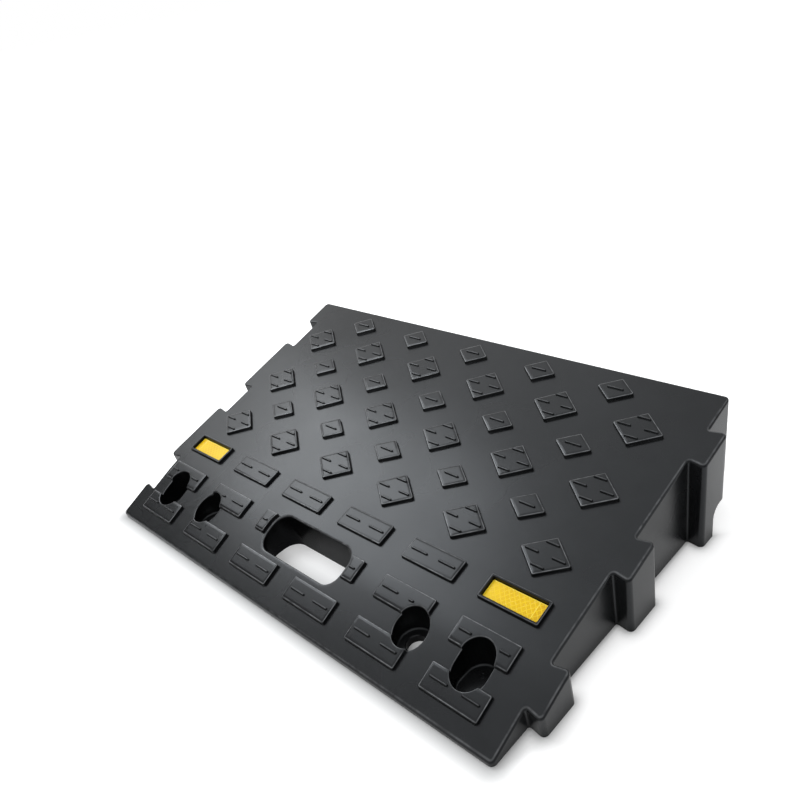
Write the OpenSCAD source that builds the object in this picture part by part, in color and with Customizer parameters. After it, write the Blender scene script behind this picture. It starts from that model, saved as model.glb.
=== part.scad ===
// Plastic kerb ramp: one ribbed moulding with two reflective sheets stuck into framed seats.
// Low edge toward -Y, kerb face toward +Y, locking tabs on +X, ground at z = 0.

/* [Body] */
// Width between the two side faces, without the locking tabs
body_w = 600; // [580:1:760]
// Depth from the front lip to the kerb face
body_d = 369; // [356:1:460]
// Height of the deck at the kerb face
body_h = 116.5; // [100:0.5:140]
// Height of the deck where it bends into the front strip
bend_h = 39; // [34:0.5:46]
// Depth of the steeper front strip
front_d = 78; // [70:1:90]
// Radius of the rounded bend in the deck
bend_r = 300; // [100:10:400]
// Height of the blunt front lip
lip_h = 5.5; // [4:0.5:8]
// Radius of the upright corners
corner_r = 4.5; // [1:0.5:6]

/* [Shell] */
// Thickness of the deck
deck_t = 5; // [3:0.5:6]
// Thickness of the outer walls
wall_t = 4; // [3:0.5:6]
// Thickness of the ribs under the deck
rib_t = 3; // [2:0.5:4]
// Distance between ribs across the width
rib_pitch_x = 48; // [40:1:56]
// Distance between ribs along the depth
rib_pitch_y = 47; // [40:1:54]
// Depth of the solid edge behind the front lip
front_solid = 28; // [24:1:32]
// Thickness of the sleeves round the handle and the wells
sleeve_t = 5; // [3:0.5:6]

/* [Drain channel] */
// Depth of the drain channel, in from the kerb face
drain_d = 60; // [40:1:70]
// Height of the drain channel
drain_h = 34; // [20:1:45]
// Radius of its inner top corner
drain_r = 13; // [5:1:18]

/* [Locking tabs] */
// Number of tabs, and of notches
tab_count = 3; // [1:1:3]
// Width of a tab where it leaves the side face
tab_root_w = 37; // [32:0.5:42]
// Width of a tab at its tip
tab_tip_w = 42.5; // [40:0.5:46]
// How far a tab stands out
tab_d = 17.5; // [12:0.5:20]
// Distance from the kerb face to the middle of the back tab
tab_back = 59.5; // [45:0.5:64]
// Distance from the front edge to the middle of the front tab
tab_front = 62.5; // [58:0.5:70]
// Gap on each flank of a tab in its notch
tab_side_gap = 2; // [0.5:0.1:2.5]
// Gap past the tip of a tab in its notch
tab_end_gap = 1; // [0.5:0.1:2]

/* [Tread pads] */
// Number of pad columns
column_count = 6; // [2:2:6]
// Distance from each side face to the middle of the outer pad column
column_side = 60; // [56:0.5:66]
// Number of diamond rows
diamond_rows = 6; // [1:1:6]
// Distance from the kerb face to the first diamond row
diamond_back = 26; // [18:0.5:28]
// Distance from the front edge to the last diamond row
diamond_front = 155.5; // [150:0.5:162]
// Width of a large diamond
large_w = 56.5; // [44:0.5:64]
// Depth of a large diamond
large_d = 41; // [30:0.5:44]
// Width of a small diamond
small_w = 44; // [30:0.5:48]
// Depth of a small diamond
small_d = 30; // [22:0.5:34]
// Width of a bar pad
bar_w = 66; // [50:1:80]
// Depth of a bar pad
bar_d = 23; // [16:1:26]
// Distance from the front edge to the lowest bar row
low_bar_front = 27; // [22:0.5:30]
// Distance from the front edge to the middle bar row
mid_bar_front = 68.5; // [64:0.5:72]
// Distance from the front edge to the top bar row
top_bar_front = 110.5; // [104:0.5:114]
// Height of every pad above the deck
pad_h = 3.5; // [1.5:0.1:4.5]
// Radius of the corners of a pad
pad_r = 2; // [0.5:0.1:3]

/* [Grip ribs] */
// Width of a grip rib
grip_w = 2.4; // [1:0.1:3]
// Height of a grip rib above its pad
grip_h = 1.5; // [0.5:0.1:2]
// Length of a grip rib on a large diamond
large_grip = 15; // [8:0.5:18]
// Distance from the middle of a large diamond to its side ribs
large_grip_x = 14.5; // [10:0.5:18]
// Distance from the middle of a large diamond to its end ribs
large_grip_y = 12; // [6:0.5:13]
// Length of the grip rib on a small diamond
small_grip = 19; // [8:0.5:22]
// Length of a grip rib on a bar pad
bar_grip = 21; // [10:0.5:24]
// Distance from the middle of a bar pad to each of its ribs
bar_grip_x = 17.5; // [12:0.5:22]

/* [Handle] */
// Width of the handle opening
handle_w = 122; // [90:1:140]
// Depth of the handle opening
handle_d = 40; // [38:1:44]
// Radius of its corners
handle_r = 16; // [5:1:18]
// Distance from the front edge to the middle of the handle opening
handle_front = 65; // [60:0.5:70]
// Flat border kept clear of pads round the handle opening
handle_border = 4; // [2:0.5:8]

/* [Wells] */
// Diameter of an anchor well
anchor_well_d = 36; // [30:1:40]
// Height of the ledge in an anchor well above the ground
anchor_ledge_h = 8; // [5:0.5:12]
// Diameter of an anchor hole
anchor_hole_d = 18.5; // [10:0.5:19]
// Diameter of the bevel round the top of an anchor hole
anchor_sink_d = 20; // [19.5:0.5:26]
// Depth of the bevel round the top of an anchor hole
anchor_sink_h = 0.8; // [0.5:0.1:4]
// Distance from the outer pad column in to each anchor well
anchor_in = 72; // [66:1:78]
// Distance from the front edge to the middle of every well
well_front = 50.5; // [46:0.5:52]
// Width of a slot well
slot_w = 35; // [24:1:40]
// Length of a slot well along the depth
slot_l = 43.5; // [42:0.5:50]
// Distance from the outer pad column out to each slot well
slot_out = 1.5; // [0:0.5:4]
// Thickness of the floor of a slot well
slot_floor_t = 3; // [2:0.5:6]

/* [Reflectors] */
// Width of a reflective sheet
sheet_w = 60; // [40:1:64]
// Depth of a reflective sheet
sheet_d = 18; // [12:0.5:20]
// Thickness of a reflective sheet
sheet_t = 1.2; // [0.5:0.1:1.6]
// Thickness of the adhesive under a sheet
adhesive_t = 0.5; // [0.2:0.1:1]
// Gap round a sheet in its seat
seat_gap = 0.4; // [0.2:0.1:0.8]
// Width of the frame round a seat
seat_rim = 2.8; // [1.5:0.1:4]
// Depth of the floor of a seat below the deck
seat_sink = 1.7; // [1:0.1:2]

/* [Hidden] */
$fn = 48;
// Facets of a rounded corner and of the bend
corner_steps = 4;
bend_steps = 6;
// Overrun of every cut past the face it leaves, and of the pads into the deck
overrun = 1;

// Places along the depth
back_y = body_d / 2;
front_y = -body_d / 2;
bend_y = front_y + front_d;
handle_y = front_y + handle_front;
well_y = front_y + well_front;
top_bar_y = front_y + top_bar_front;

// The two slopes of the deck and the arc between them
slope_a = atan((body_h - bend_h) / (back_y - bend_y));
front_a = atan((bend_h - lip_h) / front_d);
bend_run = bend_r * tan((front_a - slope_a) / 2);
bend_centre_y = bend_y + bend_run * cos(slope_a) + bend_r * sin(slope_a);
bend_centre_z = bend_h + bend_run * sin(slope_a) - bend_r * cos(slope_a);

// Outer pad column, which holds the reflectors, and the wells on both sides of it
outer_column_x = body_w / 2 - column_side;
column_pitch = 2 * outer_column_x / (column_count - 1);
anchor_x = outer_column_x - anchor_in;
slot_x = outer_column_x + slot_out;
// Spacing of the diamond rows and of the tabs, which fill the depth between their end distances
diamond_pitch = (body_d - diamond_back - diamond_front) / max(diamond_rows - 1, 1);
tab_pitch = (body_d - tab_back - tab_front) / max(tab_count - 1, 1);
// Notch that takes a tab with its gaps
notch_mouth_w = tab_root_w + 2 * tab_side_gap;
notch_inner_w = tab_tip_w + 2 * tab_side_gap;
notch_d = tab_d + tab_end_gap;
// Width and height that reach past every part of the body
reach_w = body_w + 2 * tab_d + 2 * overrun;
reach_h = body_h + pad_h + grip_h + overrun;
// Seat of a reflective sheet, measured from the deck
seat_w = sheet_w + 2 * seat_gap;
seat_d = sheet_d + 2 * seat_gap;
seat_floor = -seat_sink;

// Side view of the deck from the kerb face to the front lip, past both ends
deck_line = [
    [back_y + overrun, body_h + overrun * tan(slope_a)],
    for (i = [0 : bend_steps])
        let (a = slope_a + (front_a - slope_a) * i / bend_steps)
            [bend_centre_y - bend_r * sin(a), bend_centre_z + bend_r * cos(a)],
    [front_y - overrun, lip_h - overrun * tan(front_a)]
];

// Centre of each tab and notch along the depth, from the front one back
tab_ys = [for (i = [tab_count - 1 : -1 : 0]) back_y - tab_back - i * tab_pitch];
// Centre of each pad column across the width
column_xs = [for (i = [0 : column_count - 1]) (i - (column_count - 1) / 2) * column_pitch];

function reversed(list) = [for (i = [len(list) - 1 : -1 : 0]) list[i]];
function lifted(line, rise) = [for (p = line) [p[0], p[1] + rise]];
function unit(v) = v / norm(v);

// Points of a rounded corner at b between a and c
function corner(a, b, c, r) =
    let (
        u = unit(a - b),
        v = unit(c - b),
        half = acos(u * v) / 2,
        centre = b + unit(u + v) * r / sin(half),
        start = b + u * r / tan(half) - centre,
        end = b + v * r / tan(half) - centre
    )
    [
        for (i = [0 : corner_steps])
            centre + r * unit(start * (1 - i / corner_steps) + end * i / corner_steps)
    ];

// An outline with all its corners rounded
function rounded(points, r) =
    let (n = len(points))
    [
        for (i = [0 : n - 1])
            each corner(points[(i + n - 1) % n], points[i], points[(i + 1) % n], r)
    ];

function diamond(w, d) = [[-w / 2, 0], [0, -d / 2], [w / 2, 0], [0, d / 2]];
function box_outline(w, d) = [[-w, -d] / 2, [w, -d] / 2, [w, d] / 2, [-w, d] / 2];

// Outline of the body seen from above, with tabs on the right and notches on the left
plan_outline = concat(
    [[-body_w / 2, front_y], [body_w / 2, front_y]],
    [
        for (y = tab_ys)
            each [
                [body_w / 2, y - tab_root_w / 2],
                [body_w / 2 + tab_d, y - tab_tip_w / 2],
                [body_w / 2 + tab_d, y + tab_tip_w / 2],
                [body_w / 2, y + tab_root_w / 2]
            ]
    ],
    [[body_w / 2, back_y], [-body_w / 2, back_y]],
    [
        for (y = reversed(tab_ys))
            each [
                [-body_w / 2, y + notch_mouth_w / 2],
                [-body_w / 2 + notch_d, y + notch_inner_w / 2],
                [-body_w / 2 + notch_d, y - notch_inner_w / 2],
                [-body_w / 2, y - notch_mouth_w / 2]
            ]
    ]
);

// Draws a side view of depth and height along the whole width
module across() {
    translate([-reach_w / 2, 0, 0])
        rotate([90, 0, 90])
            linear_extrude(reach_w)
                children();
}

// Everything from below the ground up to a height above the deck
module below_deck(rise) {
    across()
        polygon(concat(lifted(deck_line, rise), [[front_y - overrun, -overrun], [back_y + overrun, -overrun]]));
}

// A layer that follows the deck between two heights above it
module deck_layer(low, high) {
    across()
        polygon(concat(lifted(deck_line, high), reversed(lifted(deck_line, low))));
}

// A layer on the deck that is cut to an outline seen from above
module raised(low, high) {
    intersection() {
        linear_extrude(reach_h)
            children();
        deck_layer(low, high);
    }
}

// Plan of the diamonds: rows of large ones between rows of small ones
module each_diamond(large) {
    for (row = [0 : diamond_rows - 1]) {
        if ((row % 2 == 1) == large) {
            y = back_y - diamond_back - row * diamond_pitch;
            count = large ? column_count : column_count - 1;
            for (i = [0 : count - 1]) {
                translate([(i - (count - 1) / 2) * column_pitch, y])
                    children();
            }
        }
    }
}

// Plan of the bar pads: two full rows near the lip, and a top row between the reflectors
module each_bar() {
    for (x = column_xs) {
        for (front = [low_bar_front, mid_bar_front]) {
            translate([x, front_y + front])
                children();
        }
        if (abs(x) < outer_column_x) {
            translate([x, top_bar_y])
                children();
        }
    }
}

module grip_plan(length) {
    square([length, grip_w], center = true);
}

module handle_plan(border) {
    w = handle_w + 2 * border;
    d = handle_d + 2 * border;
    r = handle_r + border;
    square([w - 2 * r, d], center = true);
    square([w, d - 2 * r], center = true);
    for (x = [-1, 1], y = [-1, 1]) {
        translate([x * (w / 2 - r), y * (d / 2 - r)])
            circle(r);
    }
}

module slot_plan(border) {
    w = slot_w + 2 * border;
    straight = slot_l - slot_w;
    square([w, straight], center = true);
    for (y = [-1, 1]) {
        translate([0, y * straight / 2])
            circle(d = w);
    }
}

module pads() {
    raised(-overrun, pad_h) {
        difference() {
            union() {
                each_diamond(true)
                    polygon(rounded(diamond(large_w, large_d), pad_r));
                each_diamond(false)
                    polygon(rounded(diamond(small_w, small_d), pad_r));
                each_bar()
                    polygon(rounded(box_outline(bar_w, bar_d), pad_r));
                for (side = [-1, 1]) {
                    translate([side * outer_column_x, top_bar_y])
                        polygon(rounded(box_outline(seat_w + 2 * seat_rim, seat_d + 2 * seat_rim), pad_r));
                }
            }
            translate([0, handle_y])
                handle_plan(handle_border);
        }
    }
}

module grips() {
    raised(pad_h - overrun, pad_h + grip_h) {
        difference() {
            union() {
                each_diamond(true) {
                    for (side = [-1, 1]) {
                        translate([side * large_grip_x, 0])
                            grip_plan(large_grip);
                        translate([0, side * large_grip_y])
                            grip_plan(large_grip);
                    }
                }
                each_diamond(false)
                    grip_plan(small_grip);
                each_bar() {
                    for (side = [-1, 1]) {
                        translate([side * bar_grip_x, 0])
                            grip_plan(bar_grip);
                    }
                }
            }
            translate([0, handle_y])
                handle_plan(handle_border + pad_r);
        }
    }
}

// Plan of the hollow under the deck before the ribs and sleeves are left standing
module hollow_plan() {
    hollow_w = body_w - 2 * wall_t;
    hollow_y = front_y + front_solid;
    difference() {
        translate([-hollow_w / 2, hollow_y])
            square([hollow_w, back_y - wall_t - hollow_y]);
        for (y = tab_ys) {
            polygon([
                [-body_w / 2, y + notch_mouth_w / 2 + wall_t],
                [-body_w / 2 + notch_d + wall_t, y + notch_inner_w / 2 + wall_t],
                [-body_w / 2 + notch_d + wall_t, y - notch_inner_w / 2 - wall_t],
                [-body_w / 2, y - notch_mouth_w / 2 - wall_t]
            ]);
        }
    }
    for (y = tab_ys) {
        polygon([
            [body_w / 2 - wall_t - overrun, y - tab_root_w / 2 + wall_t],
            [body_w / 2 + tab_d - wall_t, y - tab_tip_w / 2 + wall_t],
            [body_w / 2 + tab_d - wall_t, y + tab_tip_w / 2 - wall_t],
            [body_w / 2 - wall_t - overrun, y + tab_root_w / 2 - wall_t]
        ]);
    }
}

// Plan of the ribs: one behind the drain channel and others in front of it, and one down the middle
module rib_plan() {
    first_y = back_y - drain_d - rib_t / 2;
    last_y = front_y + front_solid;
    for (i = [0 : floor((first_y - last_y) / rib_pitch_y)]) {
        translate([0, first_y - i * rib_pitch_y])
            square([reach_w, rib_t], center = true);
    }
    rib_count = floor((body_w / 2 - rib_pitch_x / 2) / rib_pitch_x);
    for (i = [-rib_count : rib_count]) {
        translate([i * rib_pitch_x, 0])
            square([rib_t, body_d], center = true);
    }
}

// Hollow cells under the deck
module cells() {
    intersection() {
        translate([0, 0, -overrun])
            linear_extrude(reach_h) {
                difference() {
                    hollow_plan();
                    rib_plan();
                    translate([0, handle_y])
                        handle_plan(sleeve_t);
                    for (side = [-1, 1]) {
                        translate([side * anchor_x, well_y])
                            circle(d = anchor_well_d + 2 * sleeve_t);
                        translate([side * slot_x, well_y])
                            slot_plan(sleeve_t);
                    }
                }
            }
        below_deck(-deck_t);
    }
}

module drain_channel() {
    inner_y = back_y - drain_d;
    outer_y = back_y + overrun;
    across()
        polygon(concat(
            [[inner_y, -overrun], [outer_y, -overrun], [outer_y, drain_h]],
            corner([outer_y, drain_h], [inner_y, drain_h], [inner_y, -overrun], drain_r)
        ));
}

module handle_opening() {
    translate([0, handle_y, -overrun])
        linear_extrude(reach_h)
            handle_plan(0);
}

module anchor_well() {
    translate([0, 0, anchor_ledge_h])
        cylinder(d = anchor_well_d, h = reach_h);
    translate([0, 0, anchor_ledge_h - anchor_sink_h])
        cylinder(d1 = anchor_hole_d, d2 = anchor_sink_d, h = anchor_sink_h);
    translate([0, 0, -overrun])
        cylinder(d = anchor_hole_d, h = anchor_ledge_h);
}

module slot_well() {
    translate([0, 0, slot_floor_t])
        linear_extrude(reach_h)
            slot_plan(0);
}

module reflector_seat() {
    raised(seat_floor, pad_h + overrun)
        translate([outer_column_x, top_bar_y])
            square([seat_w, seat_d], center = true);
}

module ramp_body() {
    color("#2c2d2f")
        difference() {
            union() {
                intersection() {
                    linear_extrude(reach_h)
                        polygon(rounded(plan_outline, corner_r));
                    below_deck(0);
                }
                pads();
                grips();
            }
            cells();
            drain_channel();
            handle_opening();
            for (side = [-1, 1]) {
                translate([side * anchor_x, well_y, 0])
                    anchor_well();
                translate([side * slot_x, well_y, 0])
                    slot_well();
            }
            reflector_seat();
            mirror([1, 0, 0])
                reflector_seat();
        }
}

// One layer of a reflector, as large as the sheet
module sheet_layer(low, high) {
    raised(low, high)
        translate([outer_column_x, top_bar_y])
            square([sheet_w, sheet_d], center = true);
}

module reflector_right() {
    color("#f4c414")
        sheet_layer(seat_floor + adhesive_t, seat_floor + adhesive_t + sheet_t);
}

module reflector_left() {
    mirror([1, 0, 0])
        reflector_right();
}

module reflector_adhesive_right() {
    color("#d9d5c6")
        sheet_layer(seat_floor, seat_floor + adhesive_t);
}

module reflector_adhesive_left() {
    mirror([1, 0, 0])
        reflector_adhesive_right();
}

ramp_body();
reflector_right();
reflector_left();
reflector_adhesive_right();
reflector_adhesive_left();
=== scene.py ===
"""Looks of the plastic kerb ramp: a moulded black body with tread pads, and two reflective sheets.

The body is a relief over one shared plan. Every line that the shape needs, seen from above, goes
into one triangulation. Each triangle then gets a top layer and a bottom layer, and upright walls
close the mesh wherever the layer changes. Lengths are in millimetres until the meshes are made.
"""

import math

import bpy
import numpy as np
from mathutils import Matrix, Vector
from mathutils.geometry import delaunay_2d_cdt


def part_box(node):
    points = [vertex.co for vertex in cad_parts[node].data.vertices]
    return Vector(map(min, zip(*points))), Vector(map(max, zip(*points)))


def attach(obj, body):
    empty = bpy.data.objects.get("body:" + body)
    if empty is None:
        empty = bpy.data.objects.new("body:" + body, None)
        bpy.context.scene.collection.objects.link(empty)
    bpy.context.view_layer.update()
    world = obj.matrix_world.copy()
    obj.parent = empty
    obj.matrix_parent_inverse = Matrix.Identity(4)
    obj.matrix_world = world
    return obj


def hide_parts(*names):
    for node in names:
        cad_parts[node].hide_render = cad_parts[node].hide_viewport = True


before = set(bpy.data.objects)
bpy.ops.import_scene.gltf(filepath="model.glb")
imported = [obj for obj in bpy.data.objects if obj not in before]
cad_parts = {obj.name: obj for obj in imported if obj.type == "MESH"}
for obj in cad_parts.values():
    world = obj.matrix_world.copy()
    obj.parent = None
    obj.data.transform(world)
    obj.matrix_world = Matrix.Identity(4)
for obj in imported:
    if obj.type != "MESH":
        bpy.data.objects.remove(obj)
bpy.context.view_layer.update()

MM = 0.001

# Body, with its ends taken from the imported solid. Marks run from -1, painted shade that leaves a
# face darker and less glossy, to 1, painted highlight with rubbing wear on edges, here and further
# down.
BODY_LOW, BODY_HIGH = (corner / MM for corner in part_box("ramp_body"))
FRONT_Y = BODY_LOW.y
BACK_Y = BODY_HIGH.y
SIDE_X = -BODY_LOW.x
TAB_D = BODY_HIGH.x - SIDE_X
BODY_H = 116.5
BEND_H = 39.0
BEND_Y = FRONT_Y + 78.0
BEND_R = 300.0
LIP_H = 5.5
CORNER_R = 4.5
HOLLOW_CORNER_R = 2.0
EDGE_RADII = (1.3, 3.0)
EDGE_BLEND_X = (20.0, 8.0)
EDGE_BLEND_Y = 8.0
EDGE_INSETS = (0.0, 0.15, 0.4, 0.65, 0.95, 1.3, 1.8, 2.3, 3.0)
# Painted shade, then painted highlight with rubbing wear, across the body's rounded upper edge.
EDGE_LIGHT_AND_WEAR_AT = (0.0, 0.12, 0.3, 0.5, 0.75, 1.0)
EDGE_LIGHT_AND_WEAR = (0.0, -0.6, -0.2, 0.5, 0.3, 0.0)

# Shell under the deck
DECK_T = 5.0
WALL_T = 4.0
RIB_T = 3.0
RIB_PITCH_X = 48.0
RIBS_EACH_SIDE = 5
RIB_PITCH_Y = 47.0
HOLLOW_FRONT = FRONT_Y + 28.0
SLEEVE_T = 5.0
DRAIN_Y = BACK_Y - 60.0
DRAIN_H = 34.0
DRAIN_R = 13.0
HOLLOW_OVERLAP = 1.0

# Locking tabs on the right and their notches on the left
TAB_BACK = 59.5
TAB_PITCH = 123.5
TAB_YS = [BACK_Y - (TAB_BACK + TAB_PITCH * i) for i in (2, 1, 0)]
TAB_ROOT_W = 37.0
TAB_TIP_W = 42.5
TAB_SIDE_GAP = 2.0
NOTCH_D = TAB_D + 1.0

# Tread pads and their grip ribs
COLUMN_PITCH = 96.0
OUTER_X = SIDE_X - 60.0
DIAMOND_BACK = 26.0
DIAMOND_PITCH = 37.5
DIAMOND_ROWS = 6
DIAMOND_YS = [BACK_Y - DIAMOND_BACK - DIAMOND_PITCH * row for row in range(DIAMOND_ROWS)]
LARGE_DIAMOND = (56.5, 41.0)
LARGE_DIAMONDS = 6
SMALL_DIAMOND = (44.0, 30.0)
SMALL_DIAMONDS = 5
BAR = (66.0, 23.0)
LOW_BAR_Y = FRONT_Y + 27.0
MID_BAR_Y = FRONT_Y + 68.5
TOP_BAR_Y = FRONT_Y + 110.5
BAR_ROWS = ((LOW_BAR_Y, 6), (MID_BAR_Y, 6), (TOP_BAR_Y, 4))
PAD_R = 2.0
PAD_INSETS = (0.0, 0.2, 0.45, 0.75, 1.1, 1.6, 2.8, 3.4)
PAD_RISES = (0.0, 2.3, 2.8, 3.0, 3.09, 3.2, 3.45, 3.5)
# Painted shade on the pad walls, and a painted highlight with rubbing wear along their upper edges.
PAD_LIGHT_AND_WEAR = (0.0, -1.0, -0.6, 0.4, 1.0, 0.0, 0.0, 0.0)
RIM_INSETS = (0.0, 0.2, 0.45, 0.75, 1.1, 1.4)
RIM_RISES = (0.0, 2.5, 3.1, 3.35, 3.46, 3.5)
# Painted shade on the rim walls and on its top, and a painted highlight with rubbing wear on its
# crest.
RIM_LIGHT_AND_WEAR = (0.0, -1.0, -0.7, 0.4, 0.8, -0.5)
GRIP_W = 2.4
GRIP_END_R = 0.49 * GRIP_W
GRIP_STEP = 0.1
GRIP_INSETS = (0.0, 0.15, 0.35, 0.65, 1.0)
GRIP_RISES = (0.0, 0.9, 1.2, 1.4, 1.5)
# Painted shade on the sides of the grip ribs, and a painted highlight on their crests.
GRIP_LIGHT_AND_WEAR = (0.0, -1.0, -1.0, -0.2, 0.35)
LARGE_GRIP = 15.0
LARGE_GRIP_AT = (14.5, 12.0)
SMALL_GRIP = 19.0
BAR_GRIP = 21.0
BAR_GRIP_AT = 17.5
SHORTEST_GRIP = 4.0
GRIP_CLEAR = 3.0

# Handle opening and wells
HANDLE = (122.0, 40.0)
HANDLE_R = 16.0
HANDLE_Y = FRONT_Y + 65.0
HANDLE_BORDER = 4.0
HANDLE_LIP = 2.0
WELL_Y = FRONT_Y + 50.5
WELL_LIP = 1.2
WELL_FOOT_R = 2.5
# Painted shade at the opening edge of the handle and wells, then a painted highlight with rubbing wear
# on their rounded lips.
LIP_LIGHT_AND_WEAR_AT = (0.0, 0.15, 0.4, 0.7, 1.0)
LIP_LIGHT_AND_WEAR = (-1.0, -0.4, 1.0, 0.3, 0.0)
ANCHOR_X = OUTER_X - 72.0
ANCHOR_WELL_R = 18.0
ANCHOR_HOLE_R = 9.25
ANCHOR_SINK_R = 10.0
ANCHOR_SINK_H = 0.8
LEDGE_H = 8.0
SLOT = (35.0, 43.5)
SLOT_X = OUTER_X + 1.5
SLOT_FLOOR_H = 3.0
MARK_AT = (-3.0, 9.0)
MARK_RADII = (1.7, 2.1, 2.9, 3.3)
MARK_H = 0.4

# Reflective sheets in their framed seats
SHEET = (60.0, 18.0)
SHEET_T = 1.2
ADHESIVE_T = 0.5
SEAT_GAP = 0.4
SEAT_RIM = 2.8
SEAT_FLOOR = -1.7
SEAT_LIP = 0.7
# The seat floor under each sheet is painted shade: darker and less glossy.
SEAT_PAINTED_SHADE = -1.0
SHEET_R = 0.9
SHEET_EDGE_R = 0.3
SHEET_BORDER = (0.8, 1.0)
# Sheet marks: -1 for the paler welded seam and the painted highlight along the border, 1 for painted
# shade on the end panels.
SEAM_AND_HIGHLIGHT_MARK = -1.0
END_SHADE_MARK = 1.0
SEAM_IN = 8.2
SEAM_W = 1.0
SEAM_H = 0.12

# Finishes: colours are linear. A pattern is a number of blotches to the metre and a detail. A bump
# is a depth in metres and a strength.
EDGE_MARK = "edge"
NOISE_SPAN = (0.3, 0.7)
FULL_SPAN = (0.0, 1.0)
BELOW_ZERO = (-1.0, 0.0)
PLASTIC_DARK = (0.0032, 0.0034, 0.0037)
PLASTIC_PALE = (0.0056, 0.0059, 0.0063)
# Pale colour on marked edges: a painted highlight together with rubbing wear.
PLASTIC_WORN_HIGHLIGHT = (0.22, 0.225, 0.233)
# Darker colour and weaker gloss on walls, recesses and rib sides: painted shade.
PLASTIC_PAINTED_SHADE = (0.0012, 0.0013, 0.0014)
PLASTIC_ROUGHNESS = (0.24, 0.31)
PLASTIC_SPECULAR = 0.26
PAINTED_SHADE_SPECULAR = 0.06
PLASTIC_SHEEN = (0.91, 0.95, 1.0)
RUBBED_SMOOTHER = 0.05
BLOTCHES = (45.0, 4.0)
FLOW_MARKS = (9.0, 2.0)
WEAR_AND_HIGHLIGHT_PATCHES = (140.0, 3.0)
WEAR_AND_HIGHLIGHT_SHARE = (0.2, 1.0)
GRAIN = (2200.0, 3.0)
GRAIN_BUMP = (0.00006, 0.35)
SHEET_CELL = (0.74, 0.455, 0.003)
SHEET_PALE = (0.85, 0.57, 0.004)
SHEET_WELD = (0.87, 0.6, 0.01)
# Painted shade of the end panels past the seam.
SHEET_END_SHADE = (0.71, 0.42, 0.003)
# Paler weld colour of the seam, also used as a painted highlight along the border.
SHEET_SEAM_AND_HIGHLIGHT = (0.92, 0.7, 0.06)
SHEET_ROUGHNESS = (0.18, 0.24)
SHEET_SPECULAR = 0.16
SHEET_CLOUDS = (45.0, 2.0)
CELL = 0.004
CELL_TURN = math.radians(45)
CELL_WELD = (0.03, 0.13)
WELD_BUMP = (0.00008, 0.5)
TAPE_DARK = (0.55, 0.52, 0.44)
TAPE_PALE = (0.72, 0.70, 0.62)
TAPE_ROUGHNESS = (0.85, 0.7)
PORES = (1800.0, 4.0)
PORE_BUMP = (0.0001, 0.4)
FLOOR_COLOR = (0.9, 0.9, 0.9)
# Colour of the painted shadow on the floor round the ramp.
FLOOR_PAINTED_SHADOW = (0.5, 0.5, 0.5)
FLOOR_FILL = 0.45
FLOOR_CLEAR = "clear"
FLOOR_OPEN = "open"
# Painted shadow: how clear the floor is, by distance from the ramp's outline, beside low and tall
# walls, and in gloss.
FLOOR_CLEAR_AT = (-70.0, -52.0, -42.0, 0.0, 2.0, 4.0, 8.0, 13.0, 20.0, 28.0)
FLOOR_CLEAR_LOW = (0.62, 0.25, 0.0, 0.0, 0.05, 0.12, 0.28, 0.5, 0.85, 1.0)
FLOOR_CLEAR_TALL = (0.62, 0.25, 0.0, 0.1, 0.42, 0.6, 0.84, 0.96, 1.0, 1.0)
FLOOR_OPEN_AT = (0.0, 12.0)
FLOOR_OPEN_SHARE = (0.2, 1.0)
FLOOR_STEP = 4.0
FLOOR_REACH = 40.0

# Lights and camera, in metres. A soft light has a direction from the ramp, a size and a brightness.
WORLD_LIGHT = 0.75
LAMP_COLOR = (0.95, 0.98, 1.0)
LAMP_DISTANCE = 2.0
SOFTBOXES = {
    "side_softbox": ((-0.685, -0.05, 0.727), (1.02, 0.95), 6.1),
    "back_panel": ((-0.55, 0.36, 0.753), (0.9, 0.7), 0.55),
    "right_strip": ((0.93, 0.3, 0.22), (0.8, 0.4), 4.0),
    "top_panel": ((-0.03, 0.0, 1.0), (2.2, 2.2), 0.5),
}
FLAG_FOOT = ((-1.45, -0.2), (-0.75, -1.3))
FLAG_H = 0.8
FLAG_COLORS = ((0.17, 0.17, 0.17), (0.23, 0.23, 0.23))
FLAG_WEAVE = (900.0, 2.0)
CAMERA_AT = (0.5384, -0.3419, 0.4608)
CAMERA_AZIMUTH = math.radians(46.55)
CAMERA_ELEVATION = math.radians(40.24)
CAMERA_ROLL = math.radians(-11.14)
CAMERA_LENS = 31.03
CAMERA_SHIFT = (-0.1428, 0.1649)
CAMERA_NEAR = 0.01

# Fineness of the meshes
CORNER_STEPS = 5
ROUND_STEPS = 10
GRIP_STEPS = 4
BEND_LINES = 9
FILLET_TURNS = (0.0, 22.5, 45.0, 67.5, 90.0)
MERGE = 1e-4
SMOOTH_ANGLE = math.radians(34)


def corner(before, at, after, radii, inset, steps):
    """Points of a rounded corner of an anticlockwise outline, moved inward by the inset."""
    to_before = (before - at).normalized()
    to_after = (after - at).normalized()
    half = to_before.angle(to_after) / 2
    turns_left = to_after.cross(to_before) > 0
    radius = radii[0] if turns_left else radii[1]
    centre = at + (to_before + to_after).normalized() * (radius / math.sin(half))
    start = (at + to_before * (radius / math.tan(half)) - centre).normalized()
    end = (at + to_after * (radius / math.tan(half)) - centre).normalized()
    reach = radius - inset if turns_left else radius + inset
    if reach <= MERGE:
        return [centre - (centre - at).normalized() * (reach / math.sin(half))]
    return [centre + start.slerp(end, i / steps) * reach for i in range(steps + 1)]


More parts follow.
